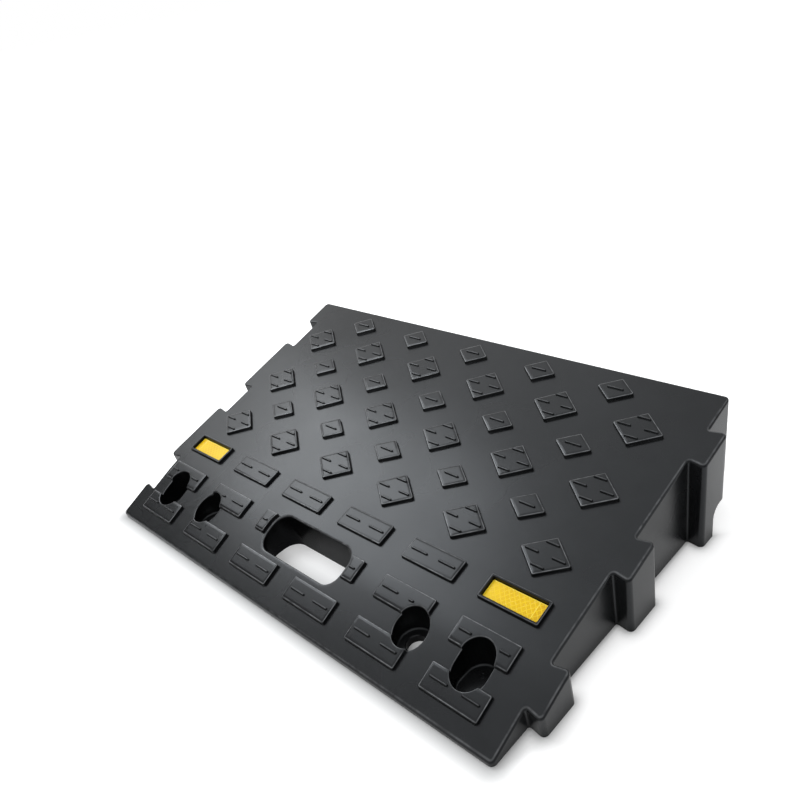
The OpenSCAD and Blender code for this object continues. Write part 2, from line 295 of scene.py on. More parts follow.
class Shape:
    """A rounded outline seen from above, which can be moved inward and measured from."""

    def __init__(self, corners, radius, steps=CORNER_STEPS, hollow_radius=0.0):
        self.corners = [Vector(p) for p in corners]
        self.radii = (radius, hollow_radius)
        self.steps = steps
        self.edge = np.array(self.loop(0.0))
        self.low = self.edge.min(axis=0)
        self.high = self.edge.max(axis=0)

    def loop(self, inset):
        """The outline's points, moved inward by the inset."""
        count = len(self.corners)
        points = []
        for i, at in enumerate(self.corners):
            after = self.corners[(i + 1) % count]
            for p in corner(self.corners[i - 1], at, after, self.radii, inset, self.steps):
                if not points or (p - points[-1]).length > MERGE:
                    points.append(p)
        if (points[0] - points[-1]).length < MERGE:
            points.pop()
        return points

    def near(self, x, y, margin):
        """Which points lie in the shape's box grown by a margin."""
        across = (x > self.low[0] - margin) & (x < self.high[0] + margin)
        along = (y > self.low[1] - margin) & (y < self.high[1] + margin)
        return np.nonzero(across & along)[0]

    def distance(self, x, y):
        """Distance of each point from the outline, negative inside it."""
        nearest = np.full(x.shape, np.inf)
        inside = np.zeros(x.shape, dtype=bool)
        for a, b in zip(self.edge, np.roll(self.edge, -1, axis=0)):
            run = b - a
            along = np.clip(((x - a[0]) * run[0] + (y - a[1]) * run[1]) / run.dot(run), 0.0, 1.0)
            aside = np.hypot(x - a[0] - along * run[0], y - a[1] - along * run[1])
            nearest = np.minimum(nearest, aside)
            if a[1] != b[1]:
                level = (a[1] > y) != (b[1] > y)
                inside ^= level & (x < a[0] + (y - a[1]) * run[0] / run[1])
        return np.where(inside, -nearest, nearest)


def box_shape(at, size, radius, steps=CORNER_STEPS):
    """A rounded box seen from above."""
    x, y = at
    w, d = size[0] / 2, size[1] / 2
    return Shape([(x - w, y - d), (x + w, y - d), (x + w, y + d), (x - w, y + d)], radius, steps)


def diamond_shape(at, size):
    """A rounded diamond seen from above."""
    x, y = at
    w, d = size[0] / 2, size[1] / 2
    return Shape([(x - w, y), (x, y - d), (x + w, y), (x, y + d)], PAD_R)


def circle_shape(at, radius):
    """A circle seen from above."""
    return box_shape(at, (2 * radius, 2 * radius), radius, ROUND_STEPS)


def flared(x, y, step, root_w, tip_w):
    """The four corners of a flared tab or notch, from its low root round to its high root."""
    root, tip = root_w / 2, tip_w / 2
    return [(x, y - root), (x + step, y - tip), (x + step, y + tip), (x, y + root)]


def plan_corners():
    """Corners of the body's outline, with tabs on the right and notches on the left."""
    right = [p for y in TAB_YS for p in flared(SIDE_X, y, TAB_D, TAB_ROOT_W, TAB_TIP_W)]
    mouth_w = TAB_ROOT_W + 2 * TAB_SIDE_GAP
    inner_w = TAB_TIP_W + 2 * TAB_SIDE_GAP
    left = [p for y in TAB_YS for p in flared(-SIDE_X, y, NOTCH_D, mouth_w, inner_w)]
    front = [(-SIDE_X, FRONT_Y), (SIDE_X, FRONT_Y)]
    back = [(SIDE_X, BACK_Y), (-SIDE_X, BACK_Y)]
    return front + right + back + left[::-1]


def spread(count):
    """Places of a row of pads across the width."""
    return [(i - (count - 1) / 2) * COLUMN_PITCH for i in range(count)]


SIDES = (-1, 1)
OUTLINE = Shape(plan_corners(), CORNER_R, hollow_radius=HOLLOW_CORNER_R)
GRIP_HOLE = box_shape((0.0, HANDLE_Y), HANDLE, HANDLE_R, ROUND_STEPS)
ANCHOR_WELLS = [circle_shape((side * ANCHOR_X, WELL_Y), ANCHOR_WELL_R) for side in SIDES]
ANCHOR_SINKS = [circle_shape((side * ANCHOR_X, WELL_Y), ANCHOR_SINK_R) for side in SIDES]
ANCHOR_HOLES = [circle_shape((side * ANCHOR_X, WELL_Y), ANCHOR_HOLE_R) for side in SIDES]
SLOTS = [box_shape((side * SLOT_X, WELL_Y), SLOT, SLOT[0] / 2, ROUND_STEPS) for side in SIDES]
SLOT_MARKS = [
    circle_shape((side * (SLOT_X + MARK_AT[0]), WELL_Y + MARK_AT[1]), radius)
    for side in SIDES
    for radius in MARK_RADII
]
WELLS = ANCHOR_WELLS + SLOTS
SEAT = (SHEET[0] + 2 * SEAT_GAP, SHEET[1] + 2 * SEAT_GAP)
RIM = (SEAT[0] + 2 * SEAT_RIM, SEAT[1] + 2 * SEAT_RIM)
SEATS = [box_shape((side * OUTER_X, TOP_BAR_Y), SEAT, SHEET_R) for side in SIDES]
RIMS = [box_shape((side * OUTER_X, TOP_BAR_Y), RIM, PAD_R) for side in SIDES]
SEAM_X = OUTER_X + SHEET[0] / 2 - SEAM_IN
SHEETS = {side: box_shape((side * OUTER_X, TOP_BAR_Y), SHEET, SHEET_R) for side in SIDES}
OPENINGS = [(GRIP_HOLE, HANDLE_LIP)] + [(well, WELL_LIP) for well in WELLS]
SEAT_LIPS = [(seat, SEAT_LIP) for seat in SEATS]


def place_pads():
    """Every raised pad, and the middle and length of every grip rib on them."""
    pads = []
    grips = []
    for row, y in enumerate(DIAMOND_YS):
        large = row % 2 == 1
        for x in spread(LARGE_DIAMONDS if large else SMALL_DIAMONDS):
            pads.append(diamond_shape((x, y), LARGE_DIAMOND if large else SMALL_DIAMOND))
            if large:
                aside, along = LARGE_GRIP_AT
                grips += [(x - aside, y, LARGE_GRIP), (x + aside, y, LARGE_GRIP)]
                grips += [(x, y - along, LARGE_GRIP), (x, y + along, LARGE_GRIP)]
            else:
                grips.append((x, y, SMALL_GRIP))
    for y, count in BAR_ROWS:
        for x in spread(count):
            pads.append(box_shape((x, y), BAR, PAD_R))
            grips += [(x - BAR_GRIP_AT, y, BAR_GRIP), (x + BAR_GRIP_AT, y, BAR_GRIP)]
    return pads, grips


def free_grip(x, y, length):
    """The stretch of a grip rib that stays clear of the handle and the wells, or None."""
    along = np.arange(x - length / 2, x + length / 2 + MERGE, GRIP_STEP)
    across = np.full(along.shape, y)
    free = GRIP_HOLE.distance(along, across) > HANDLE_BORDER + PAD_INSETS[-1]
    for well in WELLS:
        free &= well.distance(along, across) > GRIP_CLEAR
    if not free.any() or np.ptp(along[free]) < SHORTEST_GRIP:
        return None
    middle = (along[free].min() + along[free].max()) / 2
    return box_shape((middle, y), (np.ptp(along[free]), GRIP_W), GRIP_END_R, GRIP_STEPS)


PADS, GRIP_PLACES = place_pads()
GRIPS = [grip for grip in (free_grip(*place) for place in GRIP_PLACES) if grip]
RAISED = (
    (PADS, PAD_INSETS, PAD_RISES, PAD_LIGHT_AND_WEAR),
    (RIMS, RIM_INSETS, RIM_RISES, RIM_LIGHT_AND_WEAR),
    (GRIPS, GRIP_INSETS, GRIP_RISES, GRIP_LIGHT_AND_WEAR),
)


def deck_slopes():
    """The two slopes of the deck in radians and the centre of the arc that joins them."""
    back = math.atan2(BODY_H - BEND_H, BACK_Y - BEND_Y)
    front = math.atan2(BEND_H - LIP_H, BEND_Y - FRONT_Y)
    run = BEND_R * math.tan((front - back) / 2)
    centre_y = BEND_Y + run * math.cos(back) + BEND_R * math.sin(back)
    centre_z = BEND_H + run * math.sin(back) - BEND_R * math.cos(back)
    return back, front, centre_y, centre_z


BACK_SLOPE, FRONT_SLOPE, ARC_Y, ARC_Z = deck_slopes()
ARC_FRONT_Y = ARC_Y - BEND_R * math.sin(FRONT_SLOPE)
ARC_BACK_Y = ARC_Y - BEND_R * math.sin(BACK_SLOPE)


def deck_height(y):
    """Height of the plain deck: two slopes with a rounded bend."""
    back = BODY_H - (BACK_Y - y) * math.tan(BACK_SLOPE)
    front = LIP_H + (y - FRONT_Y) * math.tan(FRONT_SLOPE)
    arc = ARC_Z + np.sqrt(np.maximum(BEND_R**2 - (y - ARC_Y) ** 2, 0.0))
    return np.where(y > ARC_BACK_Y, back, np.where(y < ARC_FRONT_Y, front, arc))


def fillet_drop(distance, radius):
    """How far a rounded edge lies below its face, at a distance in from the edge."""
    short = np.clip(radius - distance, 0.0, radius)
    return radius - np.sqrt(radius**2 - short**2)


def edge_radius(x, y):
    """Radius of the rounded upper edge: larger beside the tabs than at the kerb and the notches."""
    near, far = EDGE_BLEND_X
    tab_side = np.interp(x, (SIDE_X - near, SIDE_X - far), (0.0, 1.0))
    off_kerb = np.interp(BACK_Y - y, (0.0, EDGE_BLEND_Y), (0.0, 1.0))
    return EDGE_RADII[0] + (EDGE_RADII[1] - EDGE_RADII[0]) * tab_side * off_kerb


def fillet_insets(radius):
    """Distances in from an edge at which its rounding gets a line of points."""
    return [radius * (1 - math.cos(math.radians(turn))) for turn in FILLET_TURNS]


def raised_parts(shapes, margin, x, y):
    """Points near each raised shape, and how far in from its edge and the handle's border they lie."""
    border = HANDLE_BORDER - GRIP_HOLE.distance(x, y)
    for shape in shapes:
        at = shape.near(x, y, margin)
        yield at, -np.maximum(shape.distance(x[at], y[at]), border[at])


def tread_height(x, y):
    """Height of the upper face with its pads, rims, grip ribs and rounded edges."""
    height = deck_height(y)
    for shapes, insets, rises, _ in RAISED:
        rise = np.zeros(x.shape)
        for at, inset in raised_parts(shapes, 0.0, x, y):
            rise[at] = np.maximum(rise[at], np.interp(inset, insets, rises))
        height = height + rise
    height -= fillet_drop(np.maximum(-OUTLINE.distance(x, y), 0.0), edge_radius(x, y))
    for shape, radius in OPENINGS + SEAT_LIPS:
        at = shape.near(x, y, radius)
        height[at] -= fillet_drop(np.maximum(shape.distance(x[at], y[at]), 0.0), radius)
    return height


def tread_light_and_wear(x, y):
    """Marks of the upper face: painted shade on walls and recesses, and painted highlight with rubbing
    wear on edges.
    """
    mark = np.interp(-OUTLINE.distance(x, y) / edge_radius(x, y), EDGE_LIGHT_AND_WEAR_AT, EDGE_LIGHT_AND_WEAR)
    for shapes, insets, _, light_and_wear in RAISED:
        for at, inset in raised_parts(shapes, MERGE, x, y):
            mark[at] = np.where(inset > -MERGE, np.interp(inset, insets, light_and_wear), mark[at])
    for shape, radius in OPENINGS:
        at = shape.near(x, y, radius)
        share = shape.distance(x[at], y[at]) / radius
        mark[at] = np.where(share < 1.0, np.interp(share, LIP_LIGHT_AND_WEAR_AT, LIP_LIGHT_AND_WEAR), mark[at])
    return mark


def foot_fillet(shapes, x, y):
    """Rise of a well's floor into its wall."""
    rise = np.zeros(x.shape)
    for shape in shapes:
        at = shape.near(x, y, 0.0)
        rise[at] = fillet_drop(np.maximum(-shape.distance(x[at], y[at]), 0.0), WELL_FOOT_R)
    return rise


def ledge_height(x, y):
    """Height of an anchor well's ledge and of the countersink in it."""
    ring = np.hypot(np.abs(x) - ANCHOR_X, y - WELL_Y)
    sink = np.interp(ring, (ANCHOR_HOLE_R, ANCHOR_SINK_R), (ANCHOR_SINK_H, 0.0))
    return LEDGE_H - sink + foot_fillet(ANCHOR_WELLS, x, y)


def slot_height(x, y):
    """Height of a slot well's floor, with a small moulded ring on it."""
    ring = np.hypot(np.abs(x) - SLOT_X - MARK_AT[0], y - WELL_Y - MARK_AT[1])
    mark = np.interp(ring, MARK_RADII, (0.0, MARK_H, MARK_H, 0.0))
    return SLOT_FLOOR_H + mark + foot_fillet(SLOTS, x, y)


def drain_height(x, y):
    """Height of the roof of the drain channel along the kerb."""
    return DRAIN_H - fillet_drop(np.maximum(y - DRAIN_Y, 0.0), DRAIN_R)


BODY_LAYERS = {
    "tread": tread_height,
    "seat": lambda x, y: deck_height(y) + SEAT_FLOOR,
    "ledge": ledge_height,
    "slot": slot_height,
    "foot": lambda x, y: np.zeros(x.shape),
    "drain": drain_height,
    "cell": lambda x, y: deck_height(y) - DECK_T,
}
# Painted shade and painted highlight, with rubbing wear, on the layers that carry them.
BODY_LIGHT_AND_WEAR = {
    "tread": tread_light_and_wear,
    "seat": lambda x, y: np.full(x.shape, SEAT_PAINTED_SHADE),
}


def inside(shapes, x, y, grow=0.0):
    """Which points lie inside any of several shapes grown by a margin."""
    found = np.zeros(x.shape, dtype=bool)
    for shape in shapes:
        at = shape.near(x, y, grow)
        found[at] |= shape.distance(x[at], y[at]) < grow
    return found


def body_tops(x, y):
    """Name of the upper layer at each point, or an empty name where the body is open."""
    tops = np.full(x.shape, "tread", dtype=object)
    tops[inside(SEATS, x, y)] = "seat"
    tops[inside(ANCHOR_WELLS, x, y)] = "ledge"
    tops[inside(SLOTS, x, y)] = "slot"
    tops[inside([GRIP_HOLE] + ANCHOR_HOLES, x, y)] = ""
    tops[OUTLINE.distance(x, y) > 0] = ""
    return tops


HOLLOW_X = SIDE_X - WALL_T
HOLLOW_BACK = BACK_Y - WALL_T
RIB_YS = np.arange(DRAIN_Y - RIB_T / 2, HOLLOW_FRONT, -RIB_PITCH_Y)
RIB_XS = np.arange(-RIBS_EACH_SIDE, RIBS_EACH_SIDE + 1) * RIB_PITCH_X
PLAN_REACH = SIDE_X + 2 * TAB_D


def tab_hollows():
    """Corners of the hollow inside each tab, and of the block round each notch."""
    root = TAB_ROOT_W - 2 * WALL_T
    tip = TAB_TIP_W - 2 * WALL_T
    root_x = HOLLOW_X - HOLLOW_OVERLAP
    hollows = [flared(root_x, y, TAB_D + HOLLOW_OVERLAP, root, tip) for y in TAB_YS]
    mouth = TAB_ROOT_W + 2 * TAB_SIDE_GAP + 2 * WALL_T
    inner = TAB_TIP_W + 2 * TAB_SIDE_GAP + 2 * WALL_T
    blocks = [flared(-SIDE_X, y, NOTCH_D + WALL_T, mouth, inner) for y in TAB_YS]
    return hollows, blocks


TAB_HOLLOWS, NOTCH_BLOCKS = tab_hollows()


def in_flare(corners, x, y):
    """Which points lie in a flared tab or notch given by its four corners."""
    (x0, y0), (x1, y1), (_, y2), _ = corners
    part = (x - x0) / (x1 - x0)
    middle = (y1 + y2) / 2
    half = middle - y0 + part * (y0 - y1)
    return (part > 0) & (part < 1) & (np.abs(y - middle) < half)


def body_bottoms(x, y):
    """Name of the lower layer at each point: a hollow cell, the drain's roof or the foot."""
    cell = (np.abs(x) < HOLLOW_X) & (y > HOLLOW_FRONT) & (y < HOLLOW_BACK)
    for block in NOTCH_BLOCKS:
        cell &= ~in_flare(block, x, y)
    for hollow in TAB_HOLLOWS:
        cell |= in_flare(hollow, x, y)
    for rib_y in RIB_YS:
        cell &= np.abs(y - rib_y) > RIB_T / 2
    for rib_x in RIB_XS:
        cell &= np.abs(x - rib_x) > RIB_T / 2
    cell &= ~inside([GRIP_HOLE] + WELLS, x, y, SLEEVE_T)
    return np.where(cell, "cell", np.where(y > DRAIN_Y, "drain", "foot"))


class Plan:
    """Lines seen from above, which end up as edges of one triangulation."""

    def __init__(self):
        self.points = []
        self.edges = []

    def add(self, points, closed=True):
        """Adds a line through several points."""
        first = len(self.points)
        self.points += [Vector(p) for p in points]
        last = len(self.points) - 1
        self.edges += [(i, i + 1) for i in range(first, last)]
        if closed:
            self.edges.append((last, first))

    def add_loops(self, shape, insets):
        """Adds a shape's outline moved inward by several insets."""
        for inset in insets:
            self.add(shape.loop(inset))

    def across(self, ys, reach):
        """Adds straight lines along the width."""
        for y in ys:
            self.add([(-reach, y), (reach, y)], closed=False)

    def triangles(self):
        """The triangulation's point columns and its triangles."""
        found = delaunay_2d_cdt(self.points, self.edges, [], 0, MERGE, False)
        places = np.array([p[:] for p in found[0]])
        return places[:, 0], places[:, 1], np.array(found[2])


def body_plan():
    """Every line of the body seen from above."""
    plan = Plan()
    plan.add_loops(OUTLINE, EDGE_INSETS)
    plan.add_loops(GRIP_HOLE, [-inset for inset in fillet_insets(HANDLE_LIP)])
    plan.add_loops(GRIP_HOLE, [-HANDLE_BORDER - inset for inset in PAD_INSETS])
    for shapes, insets, _, _ in RAISED:
        for shape in shapes:
            plan.add_loops(shape, insets)
    for seat in SEATS:
        plan.add_loops(seat, [-inset for inset in fillet_insets(SEAT_LIP)])
    for well in WELLS:
        plan.add_loops(well, [-inset for inset in fillet_insets(WELL_LIP)])
        plan.add_loops(well, fillet_insets(WELL_FOOT_R)[1:])
    for ring in ANCHOR_SINKS + ANCHOR_HOLES + SLOT_MARKS:
        plan.add(ring.loop(0.0))
    plan.across(np.linspace(ARC_FRONT_Y, ARC_BACK_Y, BEND_LINES), PLAN_REACH)
    plan.across([DRAIN_Y + inset for inset in fillet_insets(DRAIN_R)], PLAN_REACH)
    add_hollow_lines(plan)
    return plan


def add_hollow_lines(plan):
    """Adds the lines of the ribs, walls and sleeves under the deck."""
    front = [(-HOLLOW_X, HOLLOW_FRONT), (HOLLOW_X, HOLLOW_FRONT)]
    back = [(HOLLOW_X, HOLLOW_BACK), (-HOLLOW_X, HOLLOW_BACK)]
    plan.add(front + back)
    for sleeve in [GRIP_HOLE] + WELLS:
        plan.add(sleeve.loop(-SLEEVE_T))
    for flare in TAB_HOLLOWS + NOTCH_BLOCKS:
        plan.add(flare)
    for face in (-RIB_T / 2, RIB_T / 2):
        for y in RIB_YS + face:
            plan.add([(-HOLLOW_X, y), (SIDE_X + TAB_D - WALL_T, y)], closed=False)
        for x in RIB_XS + face:
            plan.add([(x, HOLLOW_FRONT), (x, HOLLOW_BACK)], closed=False)


def add_object(name, data):
    """A new object in the scene."""
    thing = bpy.data.objects.new(name, data)
    bpy.context.scene.collection.objects.link(thing)
    return thing


def set_marks(mesh, name, values):
    """Gives each point of a mesh a number that materials can read."""
    mesh.attributes.new(name, "FLOAT", "POINT").data.foreach_set("value", values)


class Relief:
    """A closed mesh of layers over a plan, with upright walls where the layer changes."""

    def __init__(self, plan, layers, tops_of, bottoms_of):
        self.x, self.y, self.triangles = plan.triangles()
        self.heights = {name: height(self.x, self.y) for name, height in layers.items()}
        middle_x = self.x[self.triangles].mean(axis=1)
        middle_y = self.y[self.triangles].mean(axis=1)
        self.tops = tops_of(middle_x, middle_y)
        self.bottoms = bottoms_of(middle_x, middle_y)
        self.places = []
        self.faces = []
        self.index = {}
        self.owner = {}
        self.present = {}
        self.note_neighbours()
        self.add_layers()
        self.add_walls()

    def note_neighbours(self):
        """Notes which triangle lies left of each edge and which layers meet at each point."""
        for t, triangle in enumerate(self.triangles):
            if not self.tops[t]:
                continue
            for k in range(3):
                i, j = int(triangle[k]), int(triangle[(k + 1) % 3])
                self.owner[i, j] = t
                self.present.setdefault(i, set()).update((self.tops[t], self.bottoms[t]))

    def vertex(self, i, layer):
        """Number of the vertex of a plan point in a layer."""
        key = (i, layer)
        if key not in self.index:
            self.index[key] = len(self.places)
            self.places.append((self.x[i], self.y[i], self.heights[layer][i]))
        return self.index[key]

    def column(self, i, first, last):
        """Vertices of a plan point from one layer to another, with the layers between them."""
        ends = sorted((self.heights[first][i], self.heights[last][i]))
        rank = {name: self.heights[name][i] for name in self.present[i]}
        between = [name for name in rank if ends[0] + MERGE < rank[name] < ends[1] - MERGE]
        between.sort(key=rank.get, reverse=self.heights[first][i] > self.heights[last][i])
        return [self.vertex(i, name) for name in [first] + between + [last]]

    def add_layers(self):
        """Adds the faces of the upper and lower layers."""
        for t, (i, j, k) in enumerate(self.triangles):
            top, bottom = self.tops[t], self.bottoms[t]
            if top:
                self.faces.append([self.vertex(p, top) for p in (i, j, k)])
                self.faces.append([self.vertex(p, bottom) for p in (k, j, i)])

    def add_wall(self, i, j, upper, lower):
        """Adds an upright face along an edge, whose outer side is on the edge's right."""
        self.faces.append(self.column(j, lower, upper) + self.column(i, upper, lower))

    def add_walls(self):
        """Adds upright faces where the body ends and where a layer changes."""
        for (i, j), t in self.owner.items():
            n = self.owner.get((j, i))
            if n is None:
                self.add_wall(i, j, self.tops[t], self.bottoms[t])
            elif i < j:
                if self.tops[t] != self.tops[n]:
                    self.add_wall(i, j, self.tops[t], self.tops[n])
                if self.bottoms[t] != self.bottoms[n]:
                    self.add_wall(i, j, self.bottoms[n], self.bottoms[t])

    def to_object(self, name, marks):
        """A smooth-shaded object with sharp creases, and with marks on the layers that have them."""
        mesh = bpy.data.meshes.new(name)
        mesh.from_pydata([Vector(p) * MM for p in self.places], [], self.faces)
        marked = {layer: mark(self.x, self.y) for layer, mark in marks.items()}
        values = [marked[layer][i] if layer in marked else 0.0 for i, layer in self.index]
        set_marks(mesh, EDGE_MARK, values)
        mesh.shade_smooth()
        mesh.set_sharp_from_angle(angle=SMOOTH_ANGLE)
        piece = add_object(name, mesh)
        normals = piece.modifiers.new("even_shading", "WEIGHTED_NORMAL")
        normals.keep_sharp = True
        return piece


def sheet_plan(shape, seam_xs):
    """Every line of a sheet seen from above."""
    plan = Plan()
    plan.add_loops(shape, fillet_insets(SHEET_EDGE_R))
    plan.add_loops(shape, SHEET_BORDER)
    for x in seam_xs:
        plan.add([(x, TOP_BAR_Y - SHEET[1]), (x, TOP_BAR_Y + SHEET[1])], closed=False)
    return plan


def sheet_relief(side):
    """A reflective sheet with rounded edges and one welded seam near its outer end."""
    shape = SHEETS[side]
    base = SEAT_FLOOR + ADHESIVE_T
    seam_x = side * SEAM_X
    seam_steps = (-SEAM_W / 2, -SEAM_W / 4, SEAM_W / 4, SEAM_W / 2)

    def sheet_top(x, y):
        seam = np.interp(x - seam_x, seam_steps, (0.0, SEAM_H, SEAM_H, 0.0))
        edge = fillet_drop(np.maximum(-shape.distance(x, y), 0.0), SHEET_EDGE_R)
        return deck_height(y) + base + SHEET_T + seam - edge

    plan = sheet_plan(shape, [seam_x + step for step in seam_steps])
    layers = {"face": sheet_top, "back": lambda x, y: deck_height(y) + base}

    def tops_of(x, y):
        return np.where(shape.distance(x, y) < 0, "face", "").astype(object)

    def bottoms_of(x, y):
        return np.full(x.shape, "back", dtype=object)

    return Relief(plan, layers, tops_of, bottoms_of)


def sheet_marks(x, y):
    """Marks of the sheets: painted shade on their end panels past the seam, the paler seam, and a
    painted highlight on the border.
    """
    past = np.abs(x) - SEAM_X
    panel = np.where(past > 0, END_SHADE_MARK, 0.0)
    mark = np.where(np.abs(past) < SEAM_W / 2 - MERGE, SEAM_AND_HIGHLIGHT_MARK, panel)
    inset = -np.minimum(SHEETS[-1].distance(x, y), SHEETS[1].distance(x, y))
    return np.where(inset < SHEET_BORDER[0] + MERGE, SEAM_AND_HIGHLIGHT_MARK, mark)


def new_material(name):
    """A material, its node tree and its shader."""
    material = bpy.data.materials.new(name)
    material.use_nodes = True
    return material, material.node_tree, material.node_tree.nodes["Principled BSDF"]


def add_node(tree, kind, values=None, **settings):
    """A node with its settings and unlinked inputs filled in."""
    node = tree.nodes.new(kind)
    for name, value in settings.items():
        setattr(node, name, value)
    for name, value in (values or {}).items():
        node.inputs[name].default_value = value
    return node


def noise(tree, scale, detail):
    """A noise pattern in the part's own metres, with about scale blotches to the metre."""
    place = add_node(tree, "ShaderNodeTexCoord")
    pattern = add_node(tree, "ShaderNodeTexNoise", {"Scale": scale, "Detail": detail})
    tree.links.new(place.outputs["Object"], pattern.inputs["Vector"])
    return pattern.outputs["Fac"]


def spread_between(tree, source, low, high, span=NOISE_SPAN):
    """A pattern whose span is stretched to run between two values."""
    limits = {"From Min": span[0], "From Max": span[1], "To Min": low, "To Max": high}
    node = add_node(tree, "ShaderNodeMapRange", limits)
    tree.links.new(source, node.inputs["Value"])
    return node.outputs["Result"]


def point_marks(tree, name):
    """The numbers that a mesh's points have under a name."""
    return add_node(tree, "ShaderNodeAttribute", attribute_name=name).outputs["Fac"]


def math_node(tree, operation, first, second):
    """Two values put together by one operation, each a number or a node's output."""
    node = add_node(tree, "ShaderNodeMath", operation=operation)
    for slot, value in enumerate((first, second)):
        if isinstance(value, float):
            node.inputs[slot].default_value = value
        else:
            tree.links.new(value, node.inputs[slot])
    return node.outputs["Value"]


def mix_colors(tree, factor, first, second):
    """A colour between two others, each given as numbers or as a node's output."""
    node = add_node(tree, "ShaderNodeMix", data_type="RGBA")
    tree.links.new(factor, node.inputs["Factor"])
    for name, color in (("A", first), ("B", second)):
        socket = next(s for s in node.inputs if s.name == name and s.type == "RGBA")
        if isinstance(color, tuple):
            socket.default_value = (*color, 1.0)
        else:
            tree.links.new(color, socket)
    return next(s for s in node.outputs if s.type == "RGBA")


def add_bump(tree, shader, height, depth, strength):
    """Roughens a shader's normal by a pattern of the given depth in metres."""
    bump = add_node(tree, "ShaderNodeBump", {"Strength": strength, "Distance": depth})
    tree.links.new(height, bump.inputs["Height"])
    tree.links.new(bump.outputs["Normal"], shader.inputs["Normal"])


def plastic_material():
    """Black moulded plastic: satin grain, faint flow marks, edges paler and smoother from rubbing wear
    with painted highlight, and painted shade.
    """
    material, tree, shader = new_material("black_moulded_plastic")
    blotch = spread_between(tree, noise(tree, *BLOTCHES), 0.0, 1.0)
    mark = point_marks(tree, EDGE_MARK)
    patches = spread_between(tree, noise(tree, *WEAR_AND_HIGHLIGHT_PATCHES), *WEAR_AND_HIGHLIGHT_SHARE)
    # Where the mark is above zero: painted highlight with rubbing wear, in patches.
    worn_highlight = math_node(tree, "MULTIPLY", math_node(tree, "MAXIMUM", mark, 0.0), patches)
    # Where the mark is below zero: painted shade, darker and less glossy.
    painted_shade = spread_between(tree, mark, 1.0, 0.0, BELOW_ZERO)
    plain = mix_colors(tree, blotch, PLASTIC_DARK, PLASTIC_PALE)
    plain = mix_colors(tree, painted_shade, plain, PLASTIC_PAINTED_SHADE)
    tree.links.new(mix_colors(tree, worn_highlight, plain, PLASTIC_WORN_HIGHLIGHT), shader.inputs["Base Color"])
    rough = spread_between(tree, noise(tree, *FLOW_MARKS), *PLASTIC_ROUGHNESS)
    smoother = math_node(tree, "MULTIPLY", worn_highlight, RUBBED_SMOOTHER)
    rough = math_node(tree, "SUBTRACT", rough, smoother)
    tree.links.new(rough, shader.inputs["Roughness"])
    # Weaker gloss under the painted shade.
    gloss = spread_between(tree, painted_shade, PLASTIC_SPECULAR, PAINTED_SHADE_SPECULAR, FULL_SPAN)
    tree.links.new(gloss, shader.inputs["Specular IOR Level"])
    shader.inputs["Specular Tint"].default_value = (*PLASTIC_SHEEN, 1.0)
    add_bump(tree, shader, noise(tree, *GRAIN), *GRAIN_BUMP)
    return material


def cell_welds(tree):
    """1 on the welded lines of a square lattice of cells, and 0 inside the cells."""
    place = add_node(tree, "ShaderNodeTexCoord").outputs["Object"]
    turned = add_node(tree, "ShaderNodeMapping", {"Rotation": (0.0, 0.0, CELL_TURN)})
    tree.links.new(place, turned.inputs["Vector"])
    flat = add_node(tree, "ShaderNodeVectorMath", {1: (1.0, 1.0, 0.0)}, operation="MULTIPLY")
    tree.links.new(turned.outputs["Vector"], flat.inputs[0])
    lattice = add_node(
        tree,
        "ShaderNodeTexVoronoi",
        {"Scale": 1.0 / CELL, "Randomness": 0.0},
        feature="DISTANCE_TO_EDGE",
        voronoi_dimensions="2D",
    )
    tree.links.new(flat.outputs["Vector"], lattice.inputs["Vector"])
    return spread_between(tree, lattice.outputs["Distance"], 1.0, 0.0, CELL_WELD)


def sheet_material():
    """Yellow retroreflective sheet: a lattice of welded cells under a glossy film."""
    material, tree, shader = new_material("yellow_reflective_sheet")
    weld = cell_welds(tree)
    mark = point_marks(tree, EDGE_MARK)
    clouds = noise(tree, *SHEET_CLOUDS)
    cell = mix_colors(tree, spread_between(tree, clouds, 0.0, 1.0), SHEET_CELL, SHEET_PALE)
    # Painted shade on the end panels past the seam.
    cell = mix_colors(tree, math_node(tree, "MAXIMUM", mark, 0.0), cell, SHEET_END_SHADE)
    cell = mix_colors(tree, weld, cell, SHEET_WELD)
    # Paler weld on the seam, and a painted highlight on the border.
    seam = spread_between(tree, mark, 1.0, 0.0, BELOW_ZERO)
    tree.links.new(mix_colors(tree, seam, cell, SHEET_SEAM_AND_HIGHLIGHT), shader.inputs["Base Color"])
    rough = spread_between(tree, clouds, *SHEET_ROUGHNESS)
    tree.links.new(rough, shader.inputs["Roughness"])
    shader.inputs["Specular IOR Level"].default_value = SHEET_SPECULAR
    add_bump(tree, shader, weld, *WELD_BUMP)
    return material


def adhesive_material():
    """Pale foam tape with fine open pores."""
    material, tree, shader = new_material("foam_tape")
    pores = noise(tree, *PORES)
    color = mix_colors(tree, spread_between(tree, pores, 0.0, 1.0), TAPE_DARK, TAPE_PALE)
    tree.links.new(color, shader.inputs["Base Color"])
    rough = spread_between(tree, pores, *TAPE_ROUGHNESS)
    tree.links.new(rough, shader.inputs["Roughness"])
    add_bump(tree, shader, pores, *PORE_BUMP)
    return material


def seen_directly(tree):
    """1 for rays from the eye, off gloss or through glass, and 0 for rays that light a surface."""
    rays = add_node(tree, "ShaderNodeLightPath").outputs
    mirrored = math_node(tree, "MAXIMUM", rays["Is Glossy Ray"], rays["Is Transmission Ray"])
    return math_node(tree, "MAXIMUM", rays["Is Camera Ray"], mirrored)


